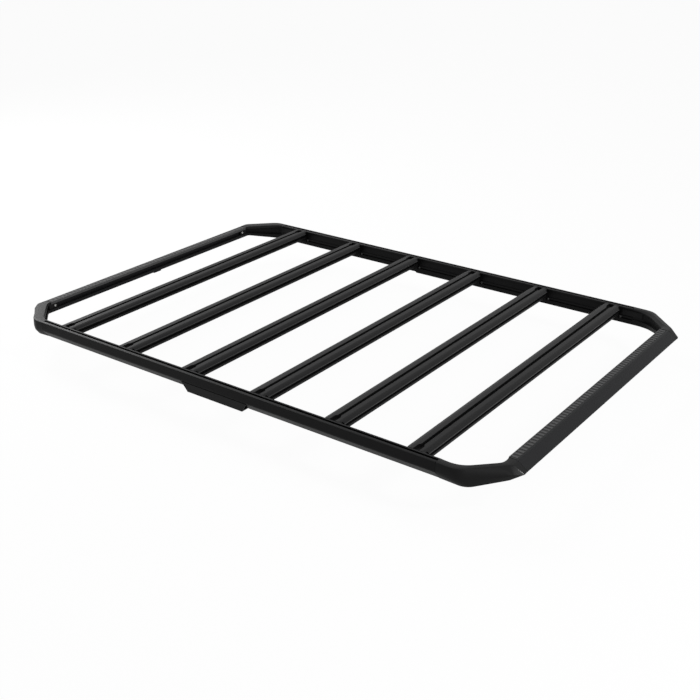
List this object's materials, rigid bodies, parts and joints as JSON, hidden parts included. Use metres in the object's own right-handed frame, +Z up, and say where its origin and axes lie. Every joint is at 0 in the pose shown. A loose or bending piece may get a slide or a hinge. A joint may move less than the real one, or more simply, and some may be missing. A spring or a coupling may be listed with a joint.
{
  "type": "flat platform roof rack",
  "caption": "Flat open roof platform: slotted side rails, sloped end rails with rubber grip strips, chamfered cast corners and slotted crossbars.",
  "frame": {"origin": "middle of the rack's outline, at the level of the side plates' undersides", "axes": "+X towards the front end, +Y towards the left side rail, +Z up"},
  "size_m": [1.896, 1.278, 0.0618],
  "materials": {
    "rail_coat": "fine satin black powder coat on aluminium",
    "bar_coat": "fine satin black powder coat on aluminium",
    "plate_coat": "satin black coat on folded metal",
    "corner_cast": "smooth black, half matt moulding",
    "small_parts": "matt black moulding",
    "grip_rubber": "finely ribbed black rubber"
  },
  "bodies": {
    "root": {"side_rail_right": "rail_coat", "side_rail_left": "rail_coat", "end_rail_front": "rail_coat", "end_rail_rear": "rail_coat", "corner_front_right": "corner_cast", "corner_front_left": "corner_cast", "corner_rear_right": "corner_cast", "corner_rear_left": "corner_cast", "crossbar_1": "bar_coat", "crossbar_2": "bar_coat", "crossbar_3": "bar_coat", "crossbar_4": "bar_coat", "crossbar_5": "bar_coat", "crossbar_6": "bar_coat", "grip_strip_front": "grip_rubber", "grip_strip_rear": "grip_rubber", "side_plate_right": "plate_coat", "side_plate_left": "plate_coat", "bar_brackets_right": "small_parts", "bar_brackets_left": "small_parts", "side_joiners": "small_parts", "end_joiners": "small_parts", "end_rail_clips": "small_parts"}
  },
  "joints": []
}
